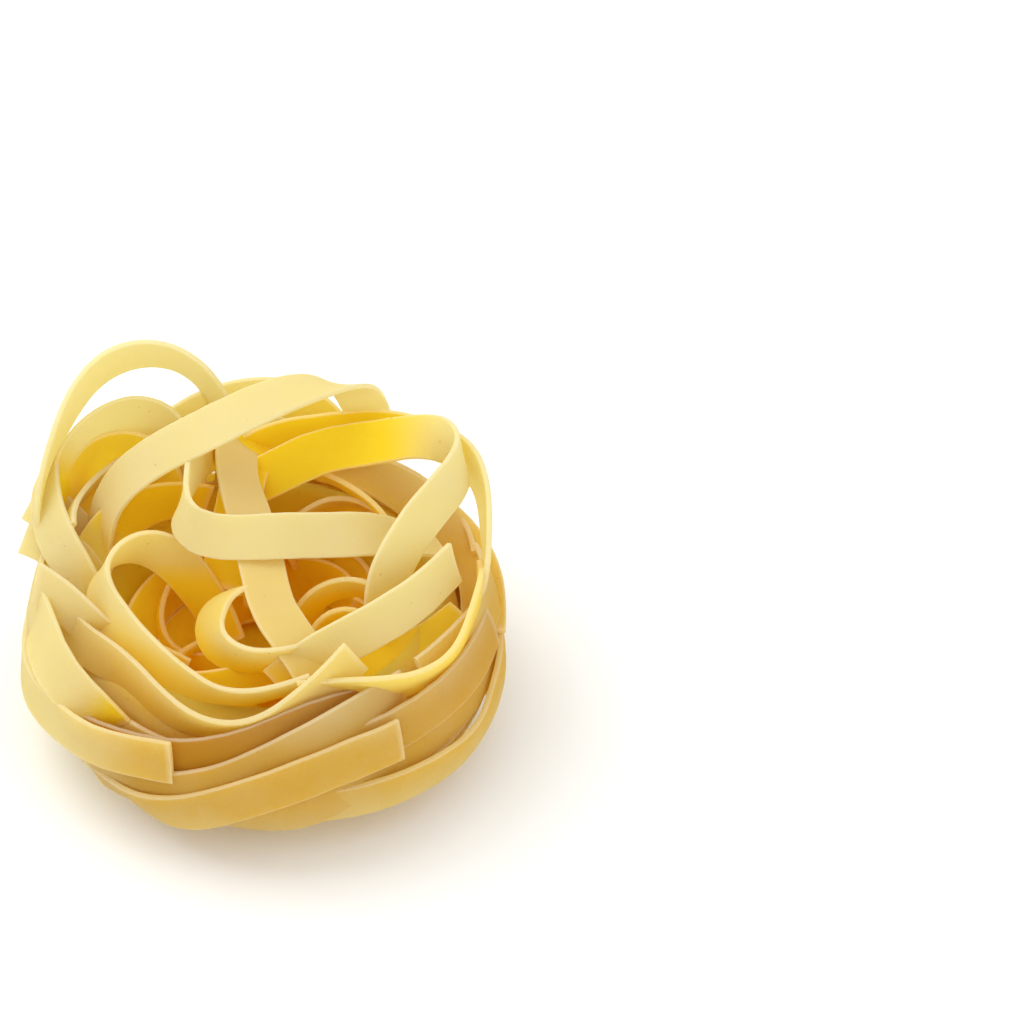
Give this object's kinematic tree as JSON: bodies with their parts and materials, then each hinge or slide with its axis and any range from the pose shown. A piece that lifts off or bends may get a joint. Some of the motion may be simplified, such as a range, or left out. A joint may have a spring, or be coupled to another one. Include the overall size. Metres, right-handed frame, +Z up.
{
  "type": "dry pasta nest",
  "caption": "Nest of dry flat egg noodles: ribbons wound into a low bowl with a hollow middle and loose loops standing up over the rim.",
  "frame": {"origin": "middle of the flat underside", "axes": "+Z up from the table through the hollow, -Y towards the side where the noodle ends show"},
  "size_m": [0.0708, 0.0722, 0.0476],
  "materials": {
    "egg_pasta": "matte, floury, slightly see-through"
  },
  "bodies": {
    "root": {"nest": "egg_pasta"}
  },
  "joints": []
}
